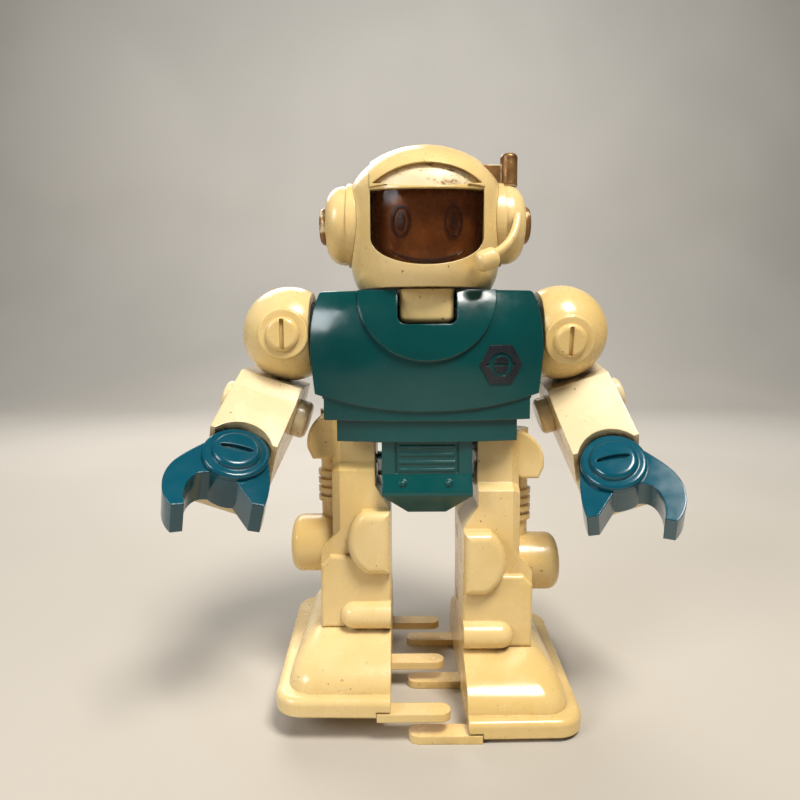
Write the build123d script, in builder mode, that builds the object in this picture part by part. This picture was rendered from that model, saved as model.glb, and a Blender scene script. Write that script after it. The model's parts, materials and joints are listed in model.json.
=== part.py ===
from build123d import *
import os
from math import acos, cos, pi, radians, sin, tan

# Walking toy robot. Millimetres, +Z up, the robot faces -Y and its own left side is +X.
# Heights of a leg are those of the leg that stands on the floor, the left one.

# Driving dimensions
body_y = 4.7  # shoulder and crank plane, behind the frame's origin
wall = 2.0  # moulded wall
fit = 0.06  # radial clearance of a shaft in its hole
play = 0.3  # gap between pieces that move past each other

# Head
head_z = 153.0
crown_rise = 0.5  # the crown stands this far out of the helmet's sides
crown_half = 17.0
visor_half = 16.7
visor_side_z = 147.0
visor_corner_z = 160.6
visor_top_z = 159.6
visor_drop = 8.5
brow_top_z = 167.2
ear_flange_x = 24.4
ear_face_x = 31.2
ear_r = 12.2
antenna_x = 26.8
neck_base_z = 121.8
neck_top_z = 132.0
neck_half = 8.2
neck_pivot_r = 5.0
helmet_base_z = 132.5

# Torso: height, half width, depth at the sides and depth in the middle of three sections
chest_levels = [(95.0, 33.6, -16.4, -21.0), (110.0, 35.2, -15.6, -21.9), (123.0, 35.0, -14.2, -20.6),
                (131.8, 32.6, -11.0, -16.8)]
chest_top_z = 131.8
chest_floor_z = 97.0
back_y = 26.6
back_half = 33.2
collar_r = 21.0
collar_z = 131.6
badge_x = 22.0
badge_z = 109.5
badge_r = 6.6
pelvis_half = 13.9
pelvis_base_z = 63.4
pelvis_back_y = 13.5
pelvis_floor_z = 70.6
door_half = 27.0
door_low_z = 100.0
door_high_z = 128.5

# Walking drive
throw = 3.4  # each foot moves on a circle of this radius
crank_z = 85.0
idler_z = 74.0
shaft_r = 1.5
idler_r = 1.2
pin_r = 1.6
web_x = 14.3
web_thick = 1.5
pin_end_x = 22.0
module = 0.5
wheel_teeth = 36
pinion_teeth = 10
motor_teeth = 8
axle_r = 1.0

# Legs
leg_inner_x = 11.4
hip_inner_x = 16.2
hip_outer_x = 29.9
shin_outer_x = 33.5
leg_top_z = 88.0
leg_base_z = 19.0
knee_z = 41.5
ankle_z = 23.4
foot_front_y = -36.0
foot_back_y = 38.0
rim_z = 6.7
rim_base_z = 1.5
sole_thick = 3.0
tab_reach_x = -6.2
tab_width = 6.0
tab_thick = 2.5
tab_pitch = 28.5
tab_first_y = -33.0

# Arms, in the arm's own frame: x outwards, origin at the shoulder centre
shoulder_x = 43.9
shoulder_z = 118.8
shoulder_r = 15.2
shoulder_cut_x = 36.3
splay = 18.5  # degrees the arm leans outwards
left_swing = 10.0  # degrees the left arm hangs lower than the right
hand_slope = 33.0  # degrees the hand's plane falls forwards
hub_y = -26.8
hub_z = -39.2
hub_r = 9.6
hand_low = -9.0
hand_high = 3.0
tongue_low = -12.3
forearm_half = 10.2
stem_r = 2.5

os.makedirs("parts", exist_ok=True)


# Placing helpers: sketches on these planes use (x, y), (x, z) or (y, z) about the body's middle.
def level(z):
    return Plane(origin=(0, body_y, z))


def facing(y):
    return Plane(origin=(0, body_y + y, 0), x_dir=(1, 0, 0), z_dir=(0, -1, 0))


def beside(x):
    return Plane(origin=(x, body_y, 0), x_dir=(0, 1, 0), z_dir=(1, 0, 0))


def slab(x_low, x_high, y_low, y_high, z_low, z_high, mode=Mode.ADD):
    with BuildSketch(level(z_low)) as outline:
        with Locations(((x_low + x_high) / 2, (y_low + y_high) / 2)):
            Rectangle(x_high - x_low, y_high - y_low)
    extrude(outline.sketch, amount=z_high - z_low, mode=mode)


def rod_x(x_start, x_end, y, z, radius, mode=Mode.ADD):
    with BuildSketch(beside(x_start)) as outline:
        with Locations((y, z)):
            Circle(radius)
    extrude(outline.sketch, amount=x_end - x_start, mode=mode)


def rod_y(y_start, y_end, x, z, radius, mode=Mode.ADD):
    with BuildSketch(facing(y_start)) as outline:
        with Locations((x, z)):
            Circle(radius)
    extrude(outline.sketch, amount=y_start - y_end, mode=mode)


def rod_z(z_start, z_end, x, y, radius, mode=Mode.ADD):
    with BuildSketch(level(z_start)) as outline:
        with Locations((x, y)):
            Circle(radius)
    extrude(outline.sketch, amount=z_end - z_start, mode=mode)


def front_prism(points, y_back, y_front, mode=Mode.ADD):
    with BuildSketch(facing(y_back)) as outline:
        with BuildLine():
            Polyline(*points, close=True)
        make_face()
    extrude(outline.sketch, amount=y_back - y_front, mode=mode)


def side_prism(points, x_low, x_high, mode=Mode.ADD):
    with BuildSketch(beside(x_low)) as outline:
        with BuildLine():
            Polyline(*points, close=True)
        make_face()
    extrude(outline.sketch, amount=x_high - x_low, mode=mode)


def write(part, label):
    part.label = label
    export_step(part, f"parts/{label}.step")


def write_pair(part, label, lift=0.0):
    """The piece is modelled on the left; its mirror twin on the right may stand higher."""
    twin = part.mirror(Plane.YZ).moved(Location((0, 0, lift)))
    write(part, f"{label}_left")
    write(twin, f"{label}_right")


# ---------------------------------------------------------------- head
# Half of the helmet's upright section: distance from the middle, height, and the way its surface faces.
helmet_profile = [(0, 176.6, 90), (13.0, 173.7, 65), (19.6, 169.5, 50), (23.3, 164.7, 28), (24.6, 156.5, 5),
                  (24.6, 148.0, -3), (23.6, 139.5, -14), (20.9, 132.0, -30)]


def helmet_block(inset, mode=Mode.ADD):
    """The helmet's full volume, pulled in by an even inset."""
    points = [(r - inset * cos(radians(a)), z - inset * sin(radians(a))) for r, z, a in helmet_profile]
    with BuildSketch(facing(0)) as outline:
        with BuildLine():
            surface = Spline((0, points[0][1]), *points[1:], tangents=((1, 0), (-0.5, -0.87)))
            Polyline(surface @ 1, (0, points[-1][1]), surface @ 0)
        make_face()
    revolve(outline.sketch, axis=Axis((0, body_y, 0), (0, 0, 1)), mode=mode)


def visor_outline(grow, amount, mode):
    """The flat-topped D of the face opening, as a prism that runs forwards."""
    half = visor_half + grow
    with BuildSketch(facing(-5)) as outline:
        with BuildLine():
            top = ThreePointArc(
                (-half, visor_corner_z + grow), (0, visor_top_z + grow), (half, visor_corner_z + grow)
            )
            Line(top @ 1, (half, visor_side_z))
            EllipticalCenterArc((0, visor_side_z), half, visor_drop + grow, start_angle=180, arc_size=180)
            Line((-half, visor_side_z), top @ 0)
        make_face()
    extrude(outline.sketch, amount=amount, mode=mode)


def brow_outline(grow, mode):
    """The crescent between the visor's top and the arched front edge of the crown."""
    with BuildSketch(facing(-5)) as outline:
        with BuildLine():
            low = ThreePointArc(
                (1 - crown_half, visor_corner_z + 1.6), (0, visor_top_z + 0.6), (crown_half - 1, visor_corner_z + 1.6)
            )
            ThreePointArc(low @ 1, (0, brow_top_z + grow), low @ 0)
        make_face()
    extrude(outline.sketch, amount=30, mode=mode)


def crown_band(half, low_z):
    """The strip that the crown covers: over the head and down the back."""
    slab(-half, half, -30, 30, low_z, 190)
    slab(-half, half, 8, 30, helmet_base_z + 10, 190)


def helmet_shell():
    helmet_block(0)
    helmet_block(wall, Mode.SUBTRACT)
    slab(-40, 40, -40, 40, 100, helmet_base_z, Mode.SUBTRACT)
    rod_z(helmet_base_z - 1, helmet_base_z + 5, 0, 0, neck_pivot_r + fit, Mode.SUBTRACT)


def helmet_floor():
    """The flat base that turns on the neck."""
    rod_z(helmet_base_z, helmet_base_z + wall, 0, 0, 20.0)
    rod_z(helmet_base_z - 1, helmet_base_z + 5, 0, 0, neck_pivot_r + fit, Mode.SUBTRACT)


def cut_crown_seat():
    with BuildPart(mode=Mode.PRIVATE) as seat:
        crown_band(crown_half, visor_corner_z + 0.6)
    add(seat.part, mode=Mode.SUBTRACT)


head_screw_spots = [(-12.0, head_z - 14), (12.0, head_z - 14)]

with BuildPart() as helmet_front_shell:
    helmet_shell()
    helmet_floor()
    cut_crown_seat()
    brow_outline(0.0, Mode.SUBTRACT)
    visor_outline(0.0, 40, Mode.SUBTRACT)
    slab(-40, 40, 0, 40, 100, 190, Mode.SUBTRACT)
    for x, z in head_screw_spots:
        rod_y(0, -4, x, z, 2.8)
        slab(x - 1, x + 1, -4, 0, helmet_base_z, z)
        rod_y(0, -3.8, x, z, 1.25, Mode.SUBTRACT)
write(helmet_front_shell.part, "helmet_front_shell")

with BuildPart() as helmet_back_shell:
    helmet_shell()
    helmet_floor()
    cut_crown_seat()
    slab(-40, 40, -40, 0, 100, 190, Mode.SUBTRACT)
    for x, z in head_screw_spots:
        rod_y(13, 0, x, z, 2.8)
        rod_y(20, -1, x, z, 1.25, Mode.SUBTRACT)
        rod_y(20, 13, x, z, 2.5, Mode.SUBTRACT)
write(helmet_back_shell.part, "helmet_back_shell")

with BuildPart() as head_screws:
    for x, z in head_screw_spots:
        rod_y(13.0, -3.6, x, z, 1.2)
        rod_y(14.4, 13.0, x, z, 2.3)
write(head_screws.part, "head_screws")

with BuildPart() as helmet_crown:
    helmet_block(-crown_rise)
    helmet_block(wall, Mode.SUBTRACT)
    with BuildPart(mode=Mode.PRIVATE) as crown_space:
        crown_band(crown_half - 0.1, visor_corner_z + 0.65)
    add(crown_space.part, mode=Mode.INTERSECT)
    brow_outline(0.0, Mode.SUBTRACT)
    visor_outline(0.65, 40, Mode.SUBTRACT)
write(helmet_crown.part, "helmet_crown")

with BuildPart() as brow_band:
    brow_outline(-0.1, Mode.ADD)
    helmet_block(1.0, Mode.INTERSECT)
    helmet_block(wall + 0.6, Mode.SUBTRACT)
write(brow_band.part, "brow_band")

with BuildPart() as visor:
    visor_outline(-0.1, 40, Mode.ADD)
    helmet_block(0.9, Mode.INTERSECT)
    with BuildPart(mode=Mode.PRIVATE) as flange:
        visor_outline(1.6, 40, Mode.ADD)
        helmet_block(wall + 0.7, Mode.INTERSECT)
    add(flange.part)
    helmet_block(wall + 1.8, Mode.SUBTRACT)
write(visor.part, "visor")

with BuildPart() as face_plate:
    visor_outline(0.8, 40, Mode.ADD)
    helmet_block(wall + 3.4, Mode.INTERSECT)
    helmet_block(wall + 4.8, Mode.SUBTRACT)
write(face_plate.part, "face_plate")

with BuildPart() as face_marks:
    with BuildSketch(facing(-5)):
        for eye_x in (-7.9, 7.9):
            with Locations((eye_x, 151.5)):
                Ellipse(2.9, 4.7)
                Ellipse(2.1, 3.9, mode=Mode.SUBTRACT)
                Ellipse(1.2, 2.8)
        with BuildLine():
            grin = ThreePointArc((-11.5, 143.8), (0, 139.4), (11.5, 143.8))
            ThreePointArc(grin @ 1, (0, 140.6), grin @ 0)
        make_face()
    extrude(amount=30)
    helmet_block(wall + 2.9, Mode.INTERSECT)
    helmet_block(wall + 3.4, Mode.SUBTRACT)
write(face_marks.part, "face_marks")

with BuildPart() as ear_pod:
    rod_x(18, ear_face_x, 0, head_z, ear_r)
    fillet(ear_pod.edges().sort_by(Axis.X)[-1], 5.4)
    rod_x(18, ear_flange_x, 0, head_z, ear_r + 0.8)
    helmet_block(-0.03, Mode.SUBTRACT)
    keep_outside = ear_pod.solids().sort_by(Axis.X)[-1]
write_pair(Part(keep_outside.wrapped), "ear_pod")

with BuildPart() as ear_cap:
    rod_x(ear_face_x, ear_face_x + 2.2, 0, head_z, 5.9)
    fillet(ear_cap.faces().sort_by(Axis.X)[-1].edges(), 1.7)
write_pair(ear_cap.part, "ear_cap")

with BuildPart() as antenna:
    rod_z(head_z + 9, 175.3, antenna_x, 0, 2.75)
    fillet(antenna.edges().group_by(Axis.Z)[-1], 1.4)
    front_prism([(14, 171.8), (antenna_x, 171.8), (antenna_x, 162.0), (19.0, 162.0)], 1.1, -1.1)
    helmet_block(-crown_rise - 0.03, Mode.SUBTRACT)
    rod_x(0, ear_flange_x + 0.05, 0, head_z, ear_r + 0.85, Mode.SUBTRACT)
    rod_x(0, ear_face_x, 0, head_z, ear_r + 0.05, Mode.SUBTRACT)
write(antenna.part, "antenna")

boom_start = (27.4, body_y - ear_r - 1.3, 154.0)
capsule_centre = (17.0, body_y - 22.8, 139.8)

with BuildPart() as mic_boom:
    with BuildLine() as boom_path:
        Spline(boom_start, (25.2, body_y - 17.0, 147.0), (18.8, body_y - 21.8, 141.4))
    with BuildSketch(Plane(origin=boom_path.line @ 0, z_dir=boom_path.line % 0)):
        Circle(1.25)
    sweep(path=boom_path.line)
    with BuildPart(mode=Mode.PRIVATE) as capsule:
        with BuildSketch(Plane(origin=capsule_centre, x_dir=(0, 1, 0), z_dir=(0.94, 0.1, 0.33))) as end_disc:
            Circle(3.1)
        extrude(end_disc.sketch, amount=3.5, both=True)
        fillet(capsule.edges().filter_by(GeomType.CIRCLE), 2.2)
    add(capsule.part)
write(mic_boom.part, "mic_boom")

neck_shelf_z = 127.6

with BuildPart() as neck_post:
    slab(-neck_half, neck_half, -17.0, -10.8, neck_base_z, neck_top_z)
    slab(-neck_half, neck_half, -12.0, 6.0, neck_shelf_z, neck_top_z)
    fillet(neck_post.edges().filter_by(Axis.Z).group_by(Axis.Y)[0], 1.6)
    fillet(neck_post.edges().filter_by(Axis.Y).group_by(Axis.Z)[0], 2.0)
    rod_z(neck_top_z - 1, helmet_base_z + wall + 0.1, 0, 0, neck_pivot_r)
    rod_z(helmet_base_z + wall + 0.1, helmet_base_z + wall + 1.2, 0, 0, neck_pivot_r + 1.6)
    slab(-neck_half - 3, neck_half + 3, -10.0, 6.0, neck_shelf_z, neck_shelf_z + 1.8)
write(neck_post.part, "neck_post")


# ---------------------------------------------------------------- torso
def chest_loft(grow, mode=Mode.ADD):
    """The curved chest block, from three outlines above each other."""
    with BuildPart(mode=Mode.PRIVATE) as block:
        for z, half_width, side_y, front_y in chest_levels:
            top_drop = min(grow, 0) if z == chest_top_z else 0
            with BuildSketch(level(z + top_drop)) as outline:
                with BuildLine():
                    half = half_width + grow
                    front = ThreePointArc((-half, side_y - grow), (0, front_y - grow), (half, side_y - grow))
                    Polyline(front @ 1, (half, 0), (-half, 0), front @ 0)
                make_face()
        loft()
    add(block.part, mode=mode)


def tier_plate(half_width, z_low, front_y, edge_y):
    """A shallow curved plate that hangs below the chest, in front of the legs."""
    with BuildSketch(level(z_low)) as outline:
        with BuildLine():
            outer = ThreePointArc((-half_width, edge_y), (0, front_y), (half_width, edge_y))
            inner = ThreePointArc((half_width, edge_y + 1.4), (0, front_y + 1.4), (-half_width, edge_y + 1.4))
            Line(outer @ 1, inner @ 0)
            Line(inner @ 1, outer @ 0)
        make_face()
    extrude(outline.sketch, amount=102 - z_low)


def bearing_holes():
    """Holes in the pelvis walls and the chest sides for the shafts that cross the parting plane."""
    rod_x(-20, 20, 0, crank_z, shaft_r + fit, Mode.SUBTRACT)
    rod_x(-20, 20, 0, idler_z, idler_r + fit, Mode.SUBTRACT)
    rod_x(-40, -30, 0, shoulder_z, 3.0 + fit, Mode.SUBTRACT)
    rod_x(30, 40, 0, shoulder_z, 3.0 + fit, Mode.SUBTRACT)


def cut_pelvis_corners():
    """The pelvis narrows downwards, clear of the knees' sloping inner faces."""
    for side in (-1, 1):
        front_prism([(side * 5.9, 63.4), (side * 13.9, 69.4), (side * 15, 69.4), (side * 15, 62), (side * 5.9, 62)],
                    30, -30, Mode.SUBTRACT)


screw_spots = [(-30.4, 103.5), (30.4, 103.5), (-30.4, 127.2), (30.4, 127.2)]

with BuildPart() as torso_front_shell:
    chest_loft(0)
    fillet(torso_front_shell.edges().group_by(Axis.Z)[-1].sort_by(Axis.Y)[0:3], 1.6)
    with BuildPart(mode=Mode.PRIVATE) as collar:
        chest_loft(1.0)
        rod_y(0, -40, 0, collar_z, collar_r, Mode.INTERSECT)
        slab(-40, 40, -40, 0, 90, chest_top_z, Mode.INTERSECT)
    add(collar.part)
    chest_loft(-2.2, Mode.SUBTRACT)
    with BuildSketch(facing(0)):
        with BuildLine():
            lip = ThreePointArc((-37, 101.4), (0, 95.5), (37, 101.4))
            Polyline(lip @ 1, (37, 90), (-37, 90), lip @ 0)
        make_face()
    extrude(amount=40, mode=Mode.SUBTRACT)
    tier_plate(31.5, 92.6, -20.3, -16.3)
    tier_plate(27.6, 86.0, -19.2, -16.1)
    side_prism([(0, 101), (-17.2, 101), (-17.2, 75.6), (-19.4, 70.6), (-19.4, 69.4), (-15.6, 63.4), (0, 63.4)],
               -pelvis_half, pelvis_half)
    slab(-pelvis_half + wall, pelvis_half - wall, -15.2, 0, pelvis_floor_z, 103, Mode.SUBTRACT)
    cut_pelvis_corners()
    for side in (-1, 1):
        slab(min(side * 12, side * 32), max(side * 12, side * 32), -15.5, 0, 99, 100.6)
        slab(min(side * 9.2, side * 9.8), max(side * 9.2, side * 9.8), -17.7, -16.8, 76, 86, Mode.SUBTRACT)
    for rib in range(4):
        slab(-8.6, 8.6, -17.5, -16.9, 76.6 + 2.4 * rib, 77.5 + 2.4 * rib)
    for dot_x in (-7.4, 6.6):
        with Locations(Location((dot_x, body_y - 18.3, 73.1))):
            Sphere(1.1)
    for x, z in screw_spots:
        rod_y(0, -9, x, z, 2.7)
        rod_y(0, -8, x, z, 1.25, Mode.SUBTRACT)
    with BuildSketch(facing(0)):
        with Locations((0, neck_base_z + 10)):
            RectangleRounded(2 * neck_half + 1.2, 20.6, 2.4)
    extrude(amount=40, mode=Mode.SUBTRACT)
    bearing_holes()
write(torso_front_shell.part, "torso_front_shell")

with BuildPart() as chest_badge:
    chest_loft(0.35)
    chest_loft(0, Mode.SUBTRACT)
    with BuildPart(mode=Mode.PRIVATE) as badge_prism:
        with BuildSketch(facing(-5)):
            with Locations((badge_x, badge_z)):
                RegularPolygon(badge_r, 6)
                Circle(3.6, mode=Mode.SUBTRACT)
                Circle(2.4)
                Rectangle(9.0, 0.9, mode=Mode.SUBTRACT)
        extrude(amount=30)
    add(badge_prism.part, mode=Mode.INTERSECT)
write(chest_badge.part, "chest_badge")

with BuildPart() as torso_back_shell:
    slab(-back_half, back_half, 0, back_y, chest_floor_z, chest_top_z)
    fillet(torso_back_shell.edges().filter_by(Axis.Z).group_by(Axis.Y)[-1], 5)
    fillet(torso_back_shell.faces().sort_by(Axis.Y)[-1].edges(), 1.5)
    slab(-back_half + wall, back_half - wall, -1, back_y - wall, chest_floor_z + wall, chest_top_z - wall,
         Mode.SUBTRACT)
    slab(-pelvis_half, pelvis_half, 0, pelvis_back_y, pelvis_base_z, chest_floor_z)
    fillet(torso_back_shell.edges().filter_by(Axis.Z).filter_by_position(Axis.Z, 70, 90).sort_by(Axis.Y)[-2:], 3)
    slab(-pelvis_half + wall, pelvis_half - wall, -1, pelvis_back_y - wall, pelvis_floor_z, chest_floor_z + 3,
         Mode.SUBTRACT)
    cut_pelvis_corners()
    slab(-neck_half - 0.3, neck_half + 0.3, -1, 6.3, neck_shelf_z, 140, Mode.SUBTRACT)
    slab(-door_half - play, door_half + play, 20, 40, door_low_z - play, door_high_z + play, Mode.SUBTRACT)
    slab(-4.2, 4.2, 8, 20, 80, 90.4, Mode.SUBTRACT)
    for x, z in screw_spots:
        rod_y(back_y - 1, 0, x, z, 2.9)
        rod_y(back_y + 2, -1, x, z, 1.25, Mode.SUBTRACT)
        rod_y(back_y + 2, back_y - 1.8, x, z, 2.4, Mode.SUBTRACT)
    bearing_holes()
write(torso_back_shell.part, "torso_back_shell")

with BuildPart() as torso_screws:
    for x, z in screw_spots:
        rod_y(back_y - 0.2, back_y - 1.7, x, z, 2.3)
        rod_y(back_y - 1.7, -7, x, z, 1.2)
        slab(x - 1.6, x + 1.6, back_y - 0.7, back_y, z - 0.25, z + 0.25, Mode.SUBTRACT)
write(torso_screws.part, "torso_screws")

with BuildPart() as battery_door:
    slab(-door_half, door_half, back_y - wall, back_y, door_low_z, door_high_z)
    fillet(battery_door.edges().filter_by(Axis.Y), 2)
    for ridge in range(5):
        slab(-9, 9, back_y, back_y + 0.7, 104 + 2.2 * ridge, 105 + 2.2 * ridge)
write(battery_door.part, "battery_door")

cell_y = 17.2

with BuildPart() as aa_cells:
    for cell_z, nub in ((106.5, 1), (121.6, -1)):
        rod_x(-24.6 * nub, 23.4 * nub, cell_y, cell_z, 7.15)
        rod_x(23.4 * nub, 24.6 * nub, cell_y, cell_z, 2.7)
write(aa_cells.part, "aa_cells")

with BuildPart() as battery_contacts:
    slab(-25.4, -24.7, 11, 22.5, 101, 127)
    for cell_z in (106.5, 121.6):
        slab(24.7, 25.4, 11, 22.5, cell_z - 5.5, cell_z + 5.5)
write(battery_contacts.part, "battery_contacts")

with BuildPart() as power_switch:
    slab(-3.6, 3.6, 8.5, 11.2, 81, 86)
    slab(-2.6, 2.6, 11.2, 15.2, 82, 85)
write(power_switch.part, "power_switch")


# ---------------------------------------------------------------- walking drive
def flank_angle(radius, base_radius, half_tooth, pressure=radians(20)):
    """Angle from a tooth's middle to its involute flank at a radius."""
    at_pitch = tan(pressure) - pressure
    slant = acos(min(1.0, base_radius / radius))
    return half_tooth + at_pitch - (tan(slant) - slant)


def gear(teeth, x_low, x_high, y, z, phase):
    """A spur gear about an axis along X; phase is the angle of one tooth's middle."""
    pitch_radius = module * teeth / 2
    base_radius = pitch_radius * cos(radians(20))
    half_tooth = 0.72 * pi / (2 * teeth)
    tip = pitch_radius + 0.8 * module
    root = pitch_radius - 1.2 * module
    radii = [root, max(base_radius, root + 0.02), pitch_radius, tip]
    points = []
    for tooth in range(teeth):
        middle = radians(phase) + 2 * pi * tooth / teeth
        flank = [(r, flank_angle(max(r, base_radius), base_radius, half_tooth)) for r in radii]
        points += [(y + r * cos(middle - a), z + r * sin(middle - a)) for r, a in flank]
        points += [(y + r * cos(middle + a), z + r * sin(middle + a)) for r, a in reversed(flank)]
    side_prism(points, x_low, x_high)


def centre_distance(first, second):
    return module * (first + second) / 2


second_z = crank_z + centre_distance(wheel_teeth, pinion_teeth)
first_z = second_z + centre_distance(wheel_teeth, pinion_teeth)
motor_z = first_z + centre_distance(wheel_teeth, motor_teeth)
gap_down_pinion = -90 + 180 / pinion_teeth
gap_down_motor = -90 + 180 / motor_teeth

with BuildPart() as crank_gear:
    gear(wheel_teeth, 4, 7, 0, crank_z, 90)
    rod_x(3.0, 8.2, 0, crank_z, 3.4)
    rod_x(0, 10, 0, crank_z, shaft_r, Mode.SUBTRACT)
write(crank_gear.part, "crank_gear")

with BuildPart() as second_gear:
    gear(pinion_teeth, 2.5, 7.6, 0, second_z, gap_down_pinion)
    gear(wheel_teeth, 0, 2.5, 0, second_z, 90)
    rod_x(-1, 9, 0, second_z, axle_r + fit, Mode.SUBTRACT)
write(second_gear.part, "second_gear")

with BuildPart() as first_gear:
    gear(pinion_teeth, -1.6, 2.6, 0, first_z, gap_down_pinion)
    gear(wheel_teeth, -4, -1.6, 0, first_z, 90)
    rod_x(-5, 5, 0, first_z, axle_r + fit, Mode.SUBTRACT)
write(first_gear.part, "first_gear")

with BuildPart() as motor_pinion:
    gear(motor_teeth, -4.4, -1.4, 0, motor_z, gap_down_motor)
    rod_x(-9, -1.4, 0, motor_z, 0.9)
write(motor_pinion.part, "motor_pinion")

with BuildPart() as gearbox_plates:
    for x_low in (-6.5, 9.0):
        slab(x_low, x_low + 1.5, -10.6, 7.5, 79, 126.8)
    for shaft_z, radius in ((crank_z, shaft_r + fit), (second_z, axle_r), (first_z, axle_r), (motor_z, 1.2)):
        rod_x(-12, 12, 0, shaft_z, radius, Mode.SUBTRACT)
    for post_y, post_z in ((-8, 124.5), (5.5, 124.5), (-9.2, first_z - 5.75), (-9.2, second_z - 5.75)):
        rod_x(-5, 9, post_y, post_z, 1.1)
write(gearbox_plates.part, "gearbox_plates")

with BuildPart() as gear_axles:
    for axle_z in (second_z, first_z):
        rod_x(-6.5, 10.5, 0, axle_z, axle_r)
write(gear_axles.part, "gear_axles")

with BuildPart() as motor_can:
    rod_x(-27, -6.5, 0, motor_z, 10)
    slab(-30, 0, -12, 12, motor_z - 7.5, motor_z + 7.5, Mode.INTERSECT)
    rod_x(-12, 0, 0, motor_z, 1.0, Mode.SUBTRACT)
write(motor_can.part, "motor_can")


def crank(axis_z, radius):
    """A shaft with a web and a pin at each end; left pin down, right pin up."""
    rod_x(-web_x, web_x, 0, axis_z, radius)
    for side in (-1, 1):
        with BuildSketch(beside(side * web_x)) as outline:
            with Locations((0, axis_z - side * throw / 2)):
                SlotCenterToCenter(throw, 4.8, rotation=90)
        extrude(outline.sketch, amount=side * web_thick)
        rod_x(side * (web_x + web_thick), side * pin_end_x, 0, axis_z - side * throw, pin_r)


with BuildPart() as crankshaft:
    crank(crank_z, shaft_r)
write(crankshaft.part, "crankshaft")

with BuildPart() as idler_crankshaft:
    crank(idler_z, idler_r)
write(idler_crankshaft.part, "idler_crankshaft")


# ---------------------------------------------------------------- legs, modelled on the left
leg_front = [
    (leg_inner_x, leg_base_z), (leg_inner_x, 57.0), (hip_inner_x, 64.5), (hip_inner_x, leg_top_z),
    (hip_outer_x - 2, leg_top_z), (hip_outer_x, leg_top_z - 3), (hip_outer_x, 47.5),
    (shin_outer_x, 43.3), (shin_outer_x, leg_base_z),
]
leg_side = [
    (-14.6, leg_base_z), (-14.2, 46), (-13.8, 69.4), (-11.0, 71.6), (-11.0, leg_top_z),
    (10, leg_top_z), (13, 80), (14.5, 60), (13, 40), (14, leg_base_z),
]
leg_pin_z = (crank_z - throw, idler_z - throw)
leg_screw_z = (28.0, 51.0)


def soft_block(outline, y_back, y_front, radius):
    """A block seen from the front as this closed wire, with its front edges rounded."""
    with BuildPart(mode=Mode.PRIVATE) as block:
        with BuildSketch(facing(y_back)) as face:
            make_face(outline.edges())
        extrude(face.sketch, amount=y_back - y_front)
        fillet(block.faces().sort_by(Axis.Y)[0].edges(), radius)
    add(block.part)


def leg_features():
    """Knee knob, kneecap, shin plate, ankle roll, ringed column and hip guard."""
    with BuildPart(mode=Mode.PRIVATE) as knob:
        rod_x(26, 44.4, 1, knee_z, 9.5)
        fillet(knob.edges().sort_by(Axis.X)[-1], 3.4)
    add(knob.part)
    with BuildLine() as kneecap:
        side = ThreePointArc((20.0, 57.2), (24.8, 47.0), (18.6, 37.2))
        Polyline(side @ 1, (leg_inner_x, 37.2), (leg_inner_x, 57.2), side @ 0)
    soft_block(kneecap, -10, -19.4, 2.6)
    with BuildLine() as shin:
        Polyline((leg_inner_x, leg_base_z), (leg_inner_x, 42.6), (30.6, 42.6), (shin_outer_x, 39.6),
                 (shin_outer_x, leg_base_z), close=True)
    soft_block(shin, -10, -16.0, 1.2)
    rod_x(leg_inner_x, 23.0, -15.6, ankle_z, 4.4)
    with Locations((23.0, body_y - 15.6, ankle_z)):
        Sphere(4.4)
    rod_z(leg_base_z, leg_top_z - 1, 30.6, 3, 4.4)
    for ring in range(4):
        rod_z(56.2 + 2.9 * ring, 57.9 + 2.9 * ring, 30.6, 3, 5.4)
    with BuildLine() as hip_guard:
        dome = ThreePointArc((27, 88.0), (35.2, 84.6), (38.0, 75.4))
        Polyline(dome @ 1, (36.4, 72.0), (31.0, 72.0), (27.0, 74.0), dome @ 0)
    soft_block(hip_guard, 11, -8.5, 1.0)


with BuildPart() as leg_shell:
    front_prism(leg_front, 30, -30)
    side_prism(leg_side, 0, 45, Mode.INTERSECT)
    chamfer(leg_shell.edges().filter_by_position(Axis.X, 29, 30.5).filter_by_position(Axis.Y, -20, -3), 2.6)
    leg_features()
    front_prism([(0, 21), (0, 57.2), (hip_inner_x - 8, 64.9), (hip_inner_x - 8, leg_top_z - wall),
                 (hip_outer_x - wall, leg_top_z - wall), (hip_outer_x - wall, 45), (shin_outer_x - wall, 43),
                 (shin_outer_x - wall, 21)], 11.5, -9.4, Mode.SUBTRACT)
    for pin_z in leg_pin_z:
        rod_x(18.2, hip_outer_x - 1, 0, pin_z, 3.4)
        rod_x(10, 23.0, 0, pin_z, pin_r + fit, Mode.SUBTRACT)
    for screw_z in leg_screw_z:
        rod_x(13.5, (shin_outer_x if screw_z < knee_z else hip_outer_x) - 1, 4, screw_z, 2.8)
        rod_x(10, 26, 4, screw_z, 1.25, Mode.SUBTRACT)
write_pair(leg_shell.part, "leg_shell", 2 * throw)

with BuildPart() as leg_inner_cover:
    front_prism([(leg_inner_x, 21.1), (leg_inner_x, 57.0), (hip_inner_x, 64.5), (hip_inner_x, leg_top_z - 2.1),
                 (hip_inner_x + 1.9, leg_top_z - 2.1), (hip_inner_x + 1.9, 63.8), (leg_inner_x + 1.9, 56.4),
                 (leg_inner_x + 1.9, 21.1)], 11.4, -9.3)
    for pin_z in leg_pin_z:
        rod_x(10, 23.0, 0, pin_z, pin_r + fit, Mode.SUBTRACT)
    for screw_z in leg_screw_z:
        rod_x(10, 26, 4, screw_z, 1.25, Mode.SUBTRACT)
        rod_x(10, leg_inner_x + 1.0, 4, screw_z, 2.4, Mode.SUBTRACT)
write_pair(leg_inner_cover.part, "leg_inner_cover", 2 * throw)


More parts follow.
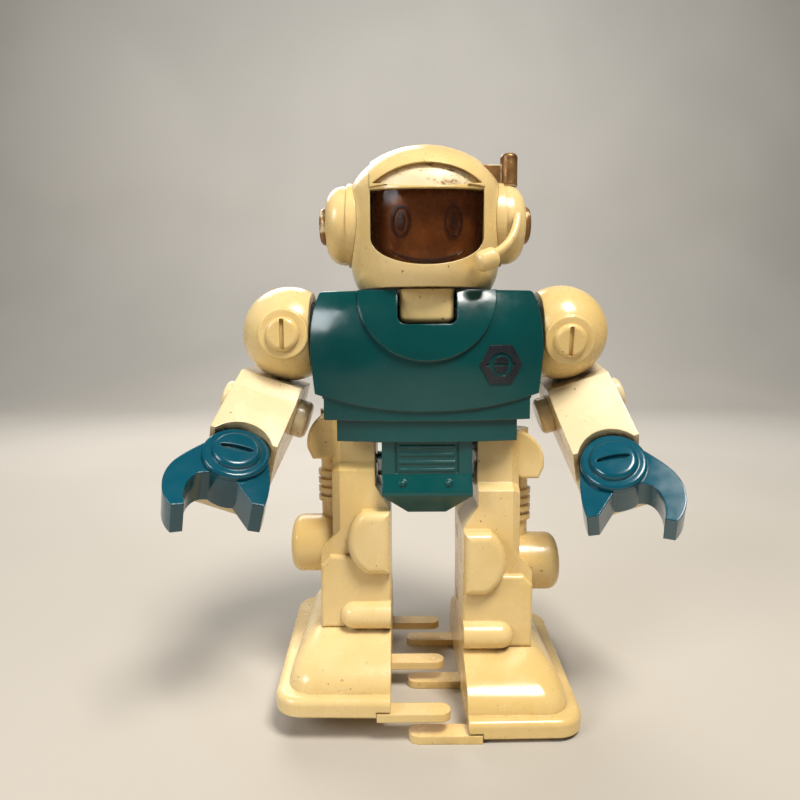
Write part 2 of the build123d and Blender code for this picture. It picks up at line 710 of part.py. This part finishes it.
def foot_slice(z_low, z_high, inset, inner_x=leg_inner_x, mode=Mode.ADD):
    """A slice of the foot's plan, pulled in by an even inset, with rounded outer corners."""
    front = foot_front_y + inset
    back = foot_back_y - inset
    with BuildSketch(level(z_low)) as outline:
        with BuildLine():
            Polyline((inner_x, front), (45.6 - inset, front + 0.6), (48.5 - inset, back), (inner_x, back), close=True)
        make_face()
        fillet(outline.vertices().sort_by(Axis.X)[-2:], 8.5 - inset)
    extrude(outline.sketch, amount=z_high - z_low, mode=mode)


# Sections of the instep from the rim up: height, outer edge, front, back and corner radius.
instep_levels = [(5.9, 42.2, -32.6, 33.6, 8.0), (9.6, 41.8, -31.8, 33.0, 8.0), (14.6, 39.4, -26.2, 29.4, 7.0),
                 (leg_base_z, 34.6, -15.8, 23.2, 4.0)]


def instep():
    """The domed upper of the foot, from sections above each other."""
    with BuildPart(mode=Mode.PRIVATE) as upper:
        for z, outer_x, front, back, corner in instep_levels:
            with BuildSketch(level(z)) as outline:
                with BuildLine():
                    Polyline((leg_inner_x, front), (outer_x, front), (outer_x, back), (leg_inner_x, back), close=True)
                make_face()
                fillet(outline.vertices().sort_by(Axis.X)[-2:], corner)
        loft()
    add(upper.part)


def cut_instep_space():
    """The hollow under the instep, with straight sloping sides."""
    with BuildPart(mode=Mode.PRIVATE) as space:
        for z, outer_x, front, back in ((8.6, 38.2, -28.4, 29.8), (leg_base_z - wall, 32.0, -13.4, 20.6)):
            with BuildSketch(level(z)) as outline:
                with Locations(((leg_inner_x + wall + outer_x) / 2, (front + back) / 2)):
                    RectangleRounded(outer_x - leg_inner_x - wall, back - front, 3)
        loft(ruled=True)
    add(space.part, mode=Mode.SUBTRACT)


sole_screw_spots = [(18.0, -24.0), (36.0, -24.0), (18.0, 28.0), (36.0, 28.0)]

with BuildPart() as foot_shell:
    foot_slice(rim_base_z, rim_z, 0)
    fillet(foot_shell.faces().sort_by(Axis.Z)[-1].edges().sort_by(Axis.X)[1:], 1.9)
    instep()
    slab(leg_inner_x + wall, 38, -28, 29, sole_thick, 8.7, Mode.SUBTRACT)
    cut_instep_space()
    foot_slice(0, sole_thick + 0.1, 2.0, 0, Mode.SUBTRACT)
    slab(0, leg_inner_x + 4.2, -40, tab_first_y + tab_width / 2 + 0.1, 0, sole_thick + 0.1, Mode.SUBTRACT)
    for x, y in sole_screw_spots:
        rod_z(sole_thick + 0.1, 10.5, x, y, 2.8)
        rod_z(0, 10, x, y, 1.25, Mode.SUBTRACT)
    with BuildPart(mode=Mode.PRIVATE) as heel_block:
        slab(15, 32, 14.1, 22, leg_base_z - 1, 27)
        fillet(heel_block.faces().sort_by(Axis.Z)[-1].edges(), 2.4)
    add(heel_block.part)
write_pair(foot_shell.part, "foot_shell", 2 * throw)

with BuildPart() as foot_sole:
    foot_slice(0, sole_thick, 2.1)
    for tab in range(3):
        tab_y = tab_first_y + tab_pitch * tab
        slab(tab_reach_x + tab_width / 2, leg_inner_x + 4, tab_y - tab_width / 2, tab_y + tab_width / 2, 0, tab_thick)
        rod_z(0, tab_thick, tab_reach_x + tab_width / 2, tab_y, tab_width / 2)
    for x, y in sole_screw_spots:
        rod_z(-1, sole_thick + 1, x, y, 1.25, Mode.SUBTRACT)
        rod_z(-1, 1.6, x, y, 2.5, Mode.SUBTRACT)
write_pair(foot_sole.part, "foot_sole", 2 * throw)

with BuildPart() as leg_screws:
    for x, y in sole_screw_spots:
        rod_z(0.3, 1.6, x, y, 2.3)
        rod_z(1.6, 9.5, x, y, 1.2)
    for screw_z in leg_screw_z:
        rod_x(leg_inner_x + 0.1, leg_inner_x + 1.0, 4, screw_z, 2.3)
        rod_x(leg_inner_x + 1.0, 25, 4, screw_z, 1.2)
write_pair(leg_screws.part, "leg_screws", 2 * throw)

# ---------------------------------------------------------------- arms, modelled about the shoulder
hand_plane = Plane(
    origin=(0, hub_y, hub_z), x_dir=(1, 0, 0), z_dir=(0, -sin(radians(hand_slope)), cos(radians(hand_slope)))
)


def arm_side_prism(points, x_low, x_high, mode=Mode.ADD):
    with BuildSketch(Plane(origin=(x_low, 0, 0), x_dir=(0, 1, 0), z_dir=(1, 0, 0))) as outline:
        with BuildLine():
            Polyline(*points, close=True)
        make_face()
    extrude(outline.sketch, amount=x_high - x_low, mode=mode)


def arm_front_prism(points, mode=Mode.ADD):
    with BuildSketch(Plane(origin=(0, 60, 0), x_dir=(1, 0, 0), z_dir=(0, -1, 0))) as outline:
        with BuildLine():
            Polyline(*points, close=True)
        make_face()
    extrude(outline.sketch, amount=120, mode=mode)


def arm_rod(x_start, x_end, y, z, radius, mode=Mode.ADD):
    with BuildSketch(Plane(origin=(x_start, 0, 0), x_dir=(0, 1, 0), z_dir=(1, 0, 0))) as outline:
        with Locations((y, z)):
            Circle(radius)
    extrude(outline.sketch, amount=x_end - x_start, mode=mode)


def hub_disc(s_low, s_high, radius, mode=Mode.ADD):
    with BuildSketch(hand_plane.offset(s_low)) as outline:
        Circle(radius)
    extrude(outline.sketch, amount=s_high - s_low, mode=mode)


def write_arm_pair(part, label, lean):
    """Lean the piece outwards, swing it about the shoulder axis and carry it to both sides."""
    leaning = part.rotate(Axis.Y, -lean)
    shoulder = Location((shoulder_x, body_y, shoulder_z))
    write(leaning.rotate(Axis.X, left_swing).moved(shoulder), f"{label}_left")
    write(leaning.moved(shoulder).mirror(Plane.YZ), f"{label}_right")


def shoulder_half(front, side):
    """Half of the hollow ball, flat towards the torso, with its slotted boss in front."""
    away = -1 if front else 1
    with Locations(Location((0, 0, 0), (0, 90, 0))):
        Sphere(shoulder_r)
    if front:
        with BuildPart(mode=Mode.PRIVATE) as boss:
            for radius, reach, rounding in ((7.8, shoulder_r - 0.7, 0.7), (5.2, shoulder_r + 0.9, 1.5)):
                with BuildSketch(Plane(origin=(0, 0, 0), x_dir=(1, 0, 0), z_dir=(0, -1, 0))) as disc:
                    Circle(radius)
                extrude(disc.sketch, amount=reach)
                fillet(boss.edges().sort_by(Axis.Y)[0], rounding)
            with BuildSketch(Plane(origin=(0, -shoulder_r + 0.9, 0), x_dir=(1, 0, 0), z_dir=(0, -1, 0))) as slot:
                Rectangle(1.3, 9.0)
            extrude(slot.sketch, amount=4, mode=Mode.SUBTRACT)
        add(boss.part)
    with Locations(Location((0, 0, 0), (0, 90, 0))):
        Sphere(shoulder_r - 2.4, mode=Mode.SUBTRACT)
    arm_rod(-20 * side, 0, 0, 0, 3.0, Mode.SUBTRACT)
    with Locations((side * (shoulder_cut_x - shoulder_x - 20), 0, 0)):
        Box(40, 60, 60, mode=Mode.SUBTRACT)
    with Locations((0, -30 * away, 0)):
        Box(60, 60, 60, mode=Mode.SUBTRACT)


for label, front in (("shoulder_front", True), ("shoulder_back", False)):
    for side, side_name in ((1, "left"), (-1, "right")):
        with BuildPart() as half_ball:
            shoulder_half(front, side)
        swing = left_swing if side > 0 else 0
        write(
            half_ball.part.rotate(Axis.X, swing).moved(Location((side * shoulder_x, body_y, shoulder_z))),
            f"{label}_{side_name}",
        )

with BuildPart() as shoulder_axle:
    arm_rod(29.5 - shoulder_x, 6, 0, 0, 3.0)
    arm_rod(29.5 - shoulder_x, 31.0 - shoulder_x, 0, 0, 5.0)
    arm_rod(shoulder_cut_x - shoulder_x, shoulder_cut_x - shoulder_x + 1.6, 0, 0, 9.9)
    arm_rod(1, 2.6, 0, 0, 9.9)
write_arm_pair(shoulder_axle.part, "shoulder_axle", 0)

elbow_y = -1.0
elbow_z = -25.5


def forearm_block():
    """The bent arm below the ball, down to the tongue that carries the hand."""
    arm_side_prism([(9, -14.6), (-9, -14.9), (-13, -19.2), (-25.4, -31.4), (-28.5, -51.3), (-26.8, -53.9),
                    (-10.1, -43.0), (5, -36.0), (10, -25)], -20, 20)
    arm_front_prism([(-9.6, -10), (9.6, -10), (forearm_half, -20), (forearm_half, -60), (-forearm_half, -60),
                     (-forearm_half, -20)], Mode.INTERSECT)
    arm_side_prism([(6, -18.5), (-8, -18.5), (-18.2, -30.0), (-12.4, -39.3), (3.5, -33), (7, -25)],
                   -8.4, 8.4, Mode.SUBTRACT)
    with BuildSketch(hand_plane.offset(hand_low - play)) as outline:
        Circle(hub_r + 0.7)
        with Locations((0, 5.5 - 20)):
            Rectangle(60, 40)
    extrude(outline.sketch, amount=40, mode=Mode.SUBTRACT)
    with BuildSketch(hand_plane.offset(tongue_low)) as outline:
        with Locations((0, -8)):
            Circle(8.4)
        with Locations((0, 22)):
            Rectangle(40, 60)
    extrude(outline.sketch, amount=60, mode=Mode.INTERSECT)
    hub_disc(tongue_low - 1, 0, stem_r, Mode.SUBTRACT)
    arm_rod(-20, 20, elbow_y, elbow_z, 2.5, Mode.SUBTRACT)
    Sphere(shoulder_r + 0.05, mode=Mode.SUBTRACT)


with BuildPart() as forearm_top:
    forearm_block()
    split(bisect_by=hand_plane.offset(-1.5), keep=Keep.TOP)
write_arm_pair(forearm_top.part, "forearm_top", splay)

with BuildPart() as forearm_under:
    forearm_block()
    split(bisect_by=hand_plane.offset(-1.5), keep=Keep.BOTTOM)
write_arm_pair(forearm_under.part, "forearm_under", splay)

with BuildPart() as elbow_pin:
    for start, end, radius in ((forearm_half, 14.6, 5.0), (-forearm_half, -14.4, 6.2)):
        knob_start = start + (0.05 if end > 0 else -0.05)
        with BuildPart(mode=Mode.PRIVATE) as knob:
            arm_rod(knob_start, end, elbow_y, elbow_z, radius)
            fillet(knob.faces().sort_by(Axis.X)[-1 if end > 0 else 0].edges(), 1.6)
        add(knob.part)
    arm_rod(-12, 12, elbow_y, elbow_z, 2.45)
write_arm_pair(elbow_pin.part, "elbow_pin", splay)

with BuildPart() as hand_claw:
    with BuildSketch(hand_plane.offset(hand_low)):
        Circle(hub_r)
        with BuildLine():
            finger_outer = Spline((7.5, 5.5), (12.6, -3.5), (15.0, -11.0), (13.2, -18.5), (8.6, -22.8))
            finger_tip = Line(finger_outer @ 1, (5.8, -21.2))
            finger_inner = Spline(finger_tip @ 1, (8.0, -16.0), (7.4, -11.0), (3.0, -8.6))
            Line(finger_inner @ 1, (0, 0))
            Line((0, 0), finger_outer @ 0)
        make_face()
        with BuildLine():
            thumb_outer = Spline((-7.9, 4.6), (-11.0, -2.0), (-13.0, -8.5), (-13.6, -14.0))
            thumb_tip = Line(thumb_outer @ 1, (-10.4, -14.6))
            thumb_inner = Line(thumb_tip @ 1, (-3.4, -8.8))
            Line(thumb_inner @ 1, (0, 0))
            Line((0, 0), thumb_outer @ 0)
        make_face()
    extrude(amount=hand_high - hand_low)
    hub_disc(hand_low - 1, hand_high + 1, stem_r + fit, Mode.SUBTRACT)
write_arm_pair(hand_claw.part, "hand_claw", splay)

with BuildPart() as hand_cap:
    for low, high, radius, rounding in ((0.1, 1.9, 9.6, 1.2), (1.0, 3.5, 7.0, 1.7)):
        with BuildPart(mode=Mode.PRIVATE) as step:
            hub_disc(hand_high + low, hand_high + high, radius)
            fillet(step.faces().sort_by(Axis(hand_plane.origin, hand_plane.z_dir))[-1].edges(), rounding)
        add(step.part)
    with BuildSketch(hand_plane.offset(hand_high + 2.1)):
        Ellipse(4.9, 1.05, rotation=-8)
    extrude(amount=3, mode=Mode.SUBTRACT)
    hub_disc(tongue_low, hand_high + 0.2, stem_r)
write_arm_pair(hand_cap.part, "hand_cap", splay)
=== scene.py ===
import bpy
import json
from math import cos, pi, radians, sin
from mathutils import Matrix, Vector

# Toy robot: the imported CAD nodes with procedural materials, a soft studio and small surface details.
# Metres throughout, in the CAD frame: +Z up, the robot faces -Y.
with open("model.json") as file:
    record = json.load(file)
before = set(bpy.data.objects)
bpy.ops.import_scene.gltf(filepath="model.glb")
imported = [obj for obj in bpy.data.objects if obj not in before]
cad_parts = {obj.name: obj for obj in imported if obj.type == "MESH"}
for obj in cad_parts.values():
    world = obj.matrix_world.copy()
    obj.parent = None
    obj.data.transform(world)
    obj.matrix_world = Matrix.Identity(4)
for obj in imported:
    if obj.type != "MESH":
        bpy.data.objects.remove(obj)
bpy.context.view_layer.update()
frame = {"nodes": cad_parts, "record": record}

scene = bpy.context.scene
scene.view_settings.view_transform = "Standard"
scene.view_settings.look = "None"

# ------------------------------------------------------------------ camera
CAMERA_PLACE = (-0.0081, -0.1996, 0.1188)
CAMERA_PITCH = 6.13  # degrees below level
CAMERA_ROLL = 0.3  # degrees, lowers the right side of the frame
SENSOR = 36.0
NEAR_CLIP = 0.01
FOCAL_IN_FRAMES = 0.775  # focal length as a share of the frame's width

camera_data = bpy.data.cameras.new("camera")
camera_data.sensor_width = SENSOR
camera_data.lens = SENSOR * FOCAL_IN_FRAMES
camera_data.clip_start = NEAR_CLIP
camera_data.dof.use_dof = False
camera = bpy.data.objects.new("camera", camera_data)
camera.location = CAMERA_PLACE
camera.rotation_euler = (radians(90 - CAMERA_PITCH), radians(CAMERA_ROLL), 0)
scene.collection.objects.link(camera)
scene.camera = camera


# ------------------------------------------------------------------ node helpers
class Graph:
    """A material's node tree, written as short calls."""

    def __init__(self, name):
        self.material = bpy.data.materials.new(name)
        self.material.use_nodes = True
        self.tree = self.material.node_tree
        self.tree.nodes.clear()
        self.output = self.tree.nodes.new("ShaderNodeOutputMaterial")
        self.place = self.add("ShaderNodeTexCoord").outputs["Object"]

    def add(self, kind, inputs=None, **settings):
        node = self.tree.nodes.new(kind)
        for key, value in settings.items():
            setattr(node, key, value)
        for key, value in (inputs or {}).items():
            self.feed(node.inputs[key], value)
        return node

    def feed(self, socket, value):
        if isinstance(value, bpy.types.NodeSocket):
            self.tree.links.new(value, socket)
        else:
            socket.default_value = value

    def stretched(self, scale, turn=(0, 0, 0)):
        return self.add(
            "ShaderNodeMapping", {"Vector": self.place, "Scale": scale, "Rotation": turn}
        ).outputs["Vector"]

    def noise(self, scale, detail=3.0, roughness=0.5, vector=None, distortion=0.0):
        node = self.add(
            "ShaderNodeTexNoise",
            {"Vector": vector or self.place, "Scale": scale, "Detail": detail, "Roughness": roughness,
             "Distortion": distortion},
        )
        return node.outputs["Fac"]

    def ramp(self, value, low, high, from_value=0.0, to_value=1.0):
        node = self.add(
            "ShaderNodeMapRange",
            {"Value": value, "From Min": low, "From Max": high, "To Min": from_value, "To Max": to_value},
            interpolation_type="SMOOTHSTEP",
        )
        return node.outputs["Result"]

    def math(self, operation, first, second=0.0):
        node = self.add("ShaderNodeMath", operation=operation)
        self.feed(node.inputs[0], first)
        self.feed(node.inputs[1], second)
        return node.outputs["Value"]

    def mix(self, factor, first, second, blend="MIX"):
        node = self.add("ShaderNodeMix", data_type="RGBA", blend_type=blend)
        self.feed(node.inputs["Factor"], factor)
        self.feed(node.inputs["A"], (*first, 1) if isinstance(first, tuple) else first)
        self.feed(node.inputs["B"], (*second, 1) if isinstance(second, tuple) else second)
        return node.outputs["Result"]

    def corners(self, distance=0.006):
        """1 deep in corners and grooves, 0 in the open."""
        occlusion = self.add("ShaderNodeAmbientOcclusion", {"Distance": distance}, samples=8)
        return self.ramp(occlusion.outputs["AO"], 0.75, 0.25)

    def edges(self, radius=0.0006):
        """1 on convex and concave edges, 0 on smooth faces."""
        bevel = self.add("ShaderNodeBevel", {"Radius": radius}, samples=6)
        geometry = self.add("ShaderNodeNewGeometry")
        dot = self.add("ShaderNodeVectorMath", operation="DOT_PRODUCT")
        self.feed(dot.inputs[0], bevel.outputs["Normal"])
        self.feed(dot.inputs[1], geometry.outputs["Normal"])
        return self.ramp(dot.outputs["Value"], 0.985, 0.90)

    def soft_normal(self, radius, height=None, strength=0.3, depth=0.0002):
        bevel = self.add("ShaderNodeBevel", {"Radius": radius}, samples=6)
        if height is None:
            return bevel.outputs["Normal"]
        bump = self.add(
            "ShaderNodeBump",
            {"Strength": strength, "Distance": depth, "Height": height, "Normal": bevel.outputs["Normal"]},
        )
        return bump.outputs["Normal"]

    def finish(self, **sockets):
        shader = self.add("ShaderNodeBsdfPrincipled")
        for key, value in sockets.items():
            name = key.replace("_", " ")
            if isinstance(value, tuple) and len(value) == 3 and name != "Subsurface Radius":
                value = (*value, 1)
            self.feed(shader.inputs[name], value)
        self.tree.links.new(shader.outputs["BSDF"], self.output.inputs["Surface"])
        return self.material


# ------------------------------------------------------------------ materials
def aged_plastic(name, light, deep, grime_and_shade, corner_shade_level, tone_scale=22.0):
    """Glossy moulded plastic, unevenly yellowed, with patchy grime and painted shade in its corners, and
    fine scuffs.
    """
    g = Graph(name)
    tone = g.ramp(g.noise(tone_scale, 4.0, 0.55), 0.35, 0.68)
    colour = g.mix(tone, light, deep)
    mottle = g.ramp(g.noise(260.0, 4.0, 0.6), 0.3, 0.75, 0.0, 0.22)
    colour = g.mix(mottle, colour, deep)
    patches = g.ramp(g.noise(70.0, 6.0, 0.7), 0.42, 0.7)
    # Patchy grime and painted shade: corners and grooves are darkened towards the dark brown, and made a
    # little rougher.
    painted_corner_shade = g.math("MULTIPLY", g.corners(), g.math("MULTIPLY", patches, corner_shade_level))
    colour = g.mix(painted_corner_shade, colour, grime_and_shade)
    specks = g.ramp(g.noise(620.0, 2.0, 0.5), 0.72, 0.76, 0.0, 0.8)
    colour = g.mix(specks, colour, grime_and_shade)
    scuff_lines = g.noise(1.0, 3.0, 0.6, g.stretched((2600, 160, 420), (0.5, 0.3, 0.7)), 0.4)
    scuff_areas = g.ramp(g.noise(45.0), 0.50, 0.60, 0.0, 0.7)
    scuffs = g.math("MULTIPLY", g.ramp(scuff_lines, 0.70, 0.76), scuff_areas)
    colour = g.mix(scuffs, colour, grime_and_shade)
    rough = g.ramp(g.noise(120.0, 5.0, 0.65), 0.3, 0.8, 0.16, 0.38)
    rough = g.math("ADD", rough, g.math("MULTIPLY", painted_corner_shade, 0.25))
    ripple = g.noise(150.0, 3.0, 0.5)
    return g.finish(
        Base_Color=colour, Roughness=rough, IOR=1.52, Subsurface_Weight=0.08, Subsurface_Scale=0.002,
        Subsurface_Radius=(1.0, 0.55, 0.25), Normal=g.soft_normal(0.0005, ripple, 0.25, 0.00012),
    )


def teal_plastic(name, light, deep):
    g = Graph(name)
    tone = g.ramp(g.noise(18.0, 3.0, 0.5), 0.35, 0.7)
    colour = g.mix(tone, light, deep)
    patches = g.ramp(g.noise(60.0, 6.0, 0.7), 0.45, 0.72)
    dust = g.math("MULTIPLY", g.corners(0.004), g.math("MULTIPLY", patches, 0.35))
    colour = g.mix(dust, colour, (0.10, 0.14, 0.12))
    wear = g.math("MULTIPLY", g.edges(0.0005), g.ramp(g.noise(210.0, 5.0, 0.7), 0.5, 0.68, 0.0, 0.5))
    colour = g.mix(wear, colour, (0.03, 0.20, 0.20))
    fine = g.noise(1.0, 3.0, 0.6, g.stretched((1900, 240, 300), (0.9, 0.2, 0.4)), 0.3)
    scratches = g.math("MULTIPLY", g.ramp(fine, 0.69, 0.75), g.ramp(g.noise(38.0), 0.5, 0.62, 0.0, 0.35))
    colour = g.mix(scratches, colour, (0.06, 0.22, 0.22))
    rough = g.ramp(g.noise(95.0, 5.0, 0.65), 0.3, 0.8, 0.12, 0.30)
    return g.finish(
        Base_Color=colour, Roughness=rough, IOR=1.52,
        Normal=g.soft_normal(0.0006, g.noise(130.0, 3.0, 0.5), 0.2, 0.00012),
    )


def worn_bronze(name, rub_low, rub_high):
    """Bronze paint rubbed through to the cream plastic."""
    g = Graph(name)
    paint = g.mix(g.ramp(g.noise(160.0, 5.0, 0.6), 0.35, 0.7), (0.30, 0.15, 0.045), (0.13, 0.065, 0.022))
    rubbed = g.ramp(g.noise(95.0, 7.0, 0.75), rub_low, rub_high)
    rubbed_edges = g.math("MULTIPLY", g.edges(0.0007), g.ramp(g.noise(300.0), 0.35, 0.5))
    rubbed = g.math("MAXIMUM", rubbed, rubbed_edges)
    colour = g.mix(rubbed, paint, (0.76, 0.62, 0.38))
    rough = g.ramp(g.noise(400.0), 0.3, 0.7, 0.32, 0.5)
    metal = g.math("SUBTRACT", 0.55, g.math("MULTIPLY", rubbed, 0.55))
    return g.finish(
        Base_Color=colour, Roughness=rough, Metallic=metal,
        Normal=g.soft_normal(0.0004, rubbed, 0.35, 0.00008),
    )


def smoked_lens():
    """Thin amber acrylic: glossy, and half see-through."""
    g = Graph("smoked_lens")
    smear = g.ramp(g.noise(60.0, 5.0, 0.6), 0.35, 0.75, 0.03, 0.12)
    colour = g.mix(g.ramp(g.noise(24.0), 0.3, 0.7), (0.075, 0.020, 0.005), (0.050, 0.013, 0.003))
    return g.finish(Base_Color=colour, Roughness=smear, Alpha=0.22, IOR=1.49, Normal=g.soft_normal(0.0003))


def lacquer(name, light, deep, metal):
    g = Graph(name)
    colour = g.mix(g.ramp(g.noise(140.0, 4.0, 0.6), 0.3, 0.7), light, deep)
    rough = g.ramp(g.noise(300.0), 0.3, 0.7, 0.18, 0.34)
    return g.finish(
        Base_Color=colour, Roughness=rough, Metallic=metal,
        Normal=g.soft_normal(0.0002, g.noise(400.0), 0.1, 0.00005),
    )


def bare_metal(name, light, deep, rough_low, rough_high):
    g = Graph(name)
    grain = g.noise(1.0, 3.0, 0.6, g.stretched((3500, 350, 3500)))
    colour = g.mix(g.ramp(grain, 0.3, 0.7), light, deep)
    stains = g.ramp(g.noise(180.0, 5.0, 0.7), 0.55, 0.75, 0.0, 0.35)
    colour = g.mix(stains, colour, (0.20, 0.14, 0.09))
    rough = g.ramp(grain, 0.3, 0.7, rough_low, rough_high)
    return g.finish(Base_Color=colour, Roughness=rough, Metallic=1.0, Normal=g.soft_normal(0.0002))


def plain_moulding(name, light, deep, rough_low, rough_high):
    g = Graph(name)
    colour = g.mix(g.ramp(g.noise(210.0, 4.0, 0.6), 0.3, 0.7), light, deep)
    # Painted shade: corners and grooves are darkened half-way towards near-black.
    painted_corner_shade = g.math("MULTIPLY", g.corners(0.003), 0.5)
    colour = g.mix(painted_corner_shade, colour, (0.03, 0.028, 0.025))
    rough = g.ramp(g.noise(350.0), 0.3, 0.7, rough_low, rough_high)
    return g.finish(
        Base_Color=colour, Roughness=rough, Normal=g.soft_normal(0.0003, g.noise(900.0), 0.15, 0.00005)
    )


# Dark brown for the specks and scuffs, and for the patchy grime and painted shade in corners.
CREAM_GRIME_AND_SHADE = (0.16, 0.10, 0.045)
cream = aged_plastic("cream_plastic", (0.80, 0.60, 0.29), (0.70, 0.48, 0.17), CREAM_GRIME_AND_SHADE, 1.0)
cream_pale = aged_plastic(
    "cream_plastic_pale", (0.80, 0.67, 0.43), (0.74, 0.57, 0.30), CREAM_GRIME_AND_SHADE, 1.2, 30.0
)
teal_body = teal_plastic("teal_body", (0.001, 0.062, 0.059), (0.001, 0.042, 0.040))
teal_hand = teal_plastic("teal_hand", (0.001, 0.072, 0.108), (0.001, 0.052, 0.078))
bronze = worn_bronze("worn_bronze", 0.53, 0.60)
bronze_rubbed = worn_bronze("worn_bronze_rubbed", 0.36, 0.47)
lens = smoked_lens()
face_gold = lacquer("face_gold", (0.38, 0.115, 0.022), (0.20, 0.055, 0.010), 0.35)
face_dark = lacquer("face_dark", (0.05, 0.018, 0.010), (0.02, 0.008, 0.005), 0.0)
badge_ink = lacquer("badge_ink", (0.010, 0.012, 0.016), (0.018, 0.020, 0.024), 0.0)
steel = bare_metal("plated_steel", (0.62, 0.62, 0.62), (0.45, 0.45, 0.46), 0.22, 0.42)
zinc = bare_metal("zinc_can", (0.60, 0.59, 0.56), (0.48, 0.47, 0.45), 0.35, 0.5)
brass = bare_metal("turned_brass", (0.80, 0.58, 0.24), (0.62, 0.42, 0.16), 0.2, 0.35)
cell_jacket = plain_moulding("cell_jacket", (0.10, 0.11, 0.15), (0.05, 0.055, 0.08), 0.18, 0.32)
acetal = plain_moulding("gear_acetal", (0.82, 0.81, 0.76), (0.70, 0.69, 0.63), 0.35, 0.5)
black_moulding = plain_moulding("black_moulding", (0.022, 0.022, 0.024), (0.012, 0.012, 0.013), 0.35, 0.55)

SLOT_MATERIALS = {
    "cream_plastic": cream, "teal_plastic": teal_body, "bronze_paint": bronze, "amber_lens": lens,
    "face_gold": face_gold, "face_dark": face_dark, "badge_black": badge_ink, "steel": steel, "zinc": zinc,
    "cell_jacket": cell_jacket, "contact_metal": steel, "gear_white": acetal, "brass": brass,
    "black_plastic": black_moulding,
}
# Pieces that have worn or yellowed differently from the rest of their slot.
NODE_MATERIALS = {"brow_band": bronze_rubbed}
for side in ("left", "right"):
    for piece in ("forearm_top", "forearm_under", "elbow_pin"):
        NODE_MATERIALS[f"{piece}_{side}"] = cream_pale
    for piece in ("hand_claw", "hand_cap"):
        NODE_MATERIALS[f"{piece}_{side}"] = teal_hand

for part in frame["record"]["subparts"]:
    node = frame["nodes"][part["node"]]
    chosen = NODE_MATERIALS.get(part["node"], SLOT_MATERIALS[part["material_slot"]])
    node.data.materials.clear()
    node.data.materials.append(chosen)


# ------------------------------------------------------------------ studio
SHEET_HALF_WIDTH = 1.6
SHEET_FRONT = -1.2
SHEET_BEND_START = 0.75
SHEET_BEND_RADIUS = 0.4
SHEET_BEND_STEPS = 16
SHEET_TOP = 1.8
ROBOT_MIDDLE = (0, 0, 0.09)
SKY_COLOUR = (0.74, 0.83, 1.0, 1)
SKY_STRENGTH = 0.11


def stage_sheet():
    """A floor that curves up into a backdrop."""
    g = Graph("studio_sheet")
    colour = g.mix(g.ramp(g.noise(3.0, 2.0), 0.3, 0.7), (0.52, 0.47, 0.40), (0.47, 0.425, 0.36))
    sheet_material = g.finish(Base_Color=colour, Roughness=0.75)
    profile = [(SHEET_FRONT, 0.0), (SHEET_BEND_START, 0.0)]
    for step in range(1, SHEET_BEND_STEPS + 1):
        angle = pi / 2 * step / SHEET_BEND_STEPS
        rise = SHEET_BEND_RADIUS * (1 - cos(angle))
        profile.append((SHEET_BEND_START + SHEET_BEND_RADIUS * sin(angle), rise))
    profile.append((SHEET_BEND_START + SHEET_BEND_RADIUS, SHEET_TOP))
    vertices = [(edge * SHEET_HALF_WIDTH, y, z) for y, z in profile for edge in (-1, 1)]
    faces = [(2 * i, 2 * i + 1, 2 * i + 3, 2 * i + 2) for i in range(len(profile) - 1)]
    mesh = bpy.data.meshes.new("studio_sheet")
    mesh.from_pydata(vertices, [], faces)
    mesh.shade_smooth()
    mesh.materials.append(sheet_material)
    sheet = bpy.data.objects.new("studio_sheet", mesh)
    scene.collection.objects.link(sheet)


def soft_light(name, place, size, power, colour, target=ROBOT_MIDDLE):
    data = bpy.data.lights.new(name, "AREA")
    data.shape = "RECTANGLE"
    data.size, data.size_y = size
    data.energy = power
    data.color = colour
    light = bpy.data.objects.new(name, data)
    light.location = place
    light.rotation_euler = (Vector(target) - Vector(place)).to_track_quat("-Z", "Y").to_euler()
    scene.collection.objects.link(light)


stage_sheet()
soft_light("key", (0.20, -0.34, 0.80), (0.26, 0.26), 8.6, (1.0, 0.97, 0.91))
soft_light("fill_left", (-0.70, -0.50, 0.55), (0.35, 0.35), 4.4, (0.92, 0.96, 1.0))
wall_spot = (0, SHEET_BEND_START + SHEET_BEND_RADIUS, 0.35)
soft_light("backdrop", (0.0, 0.35, 0.75), (1.2, 0.3), 7.0, (0.86, 0.92, 1.0), wall_spot)
soft_light("rim_back", (-0.25, 0.60, 0.60), (0.5, 0.3), 3.0, (1.0, 0.97, 0.94))

world = bpy.data.worlds.new("studio_air")
world.use_nodes = True
world.node_tree.nodes["Background"].inputs["Color"].default_value = SKY_COLOUR
world.node_tree.nodes["Background"].inputs["Strength"].default_value = SKY_STRENGTH
scene.world = world
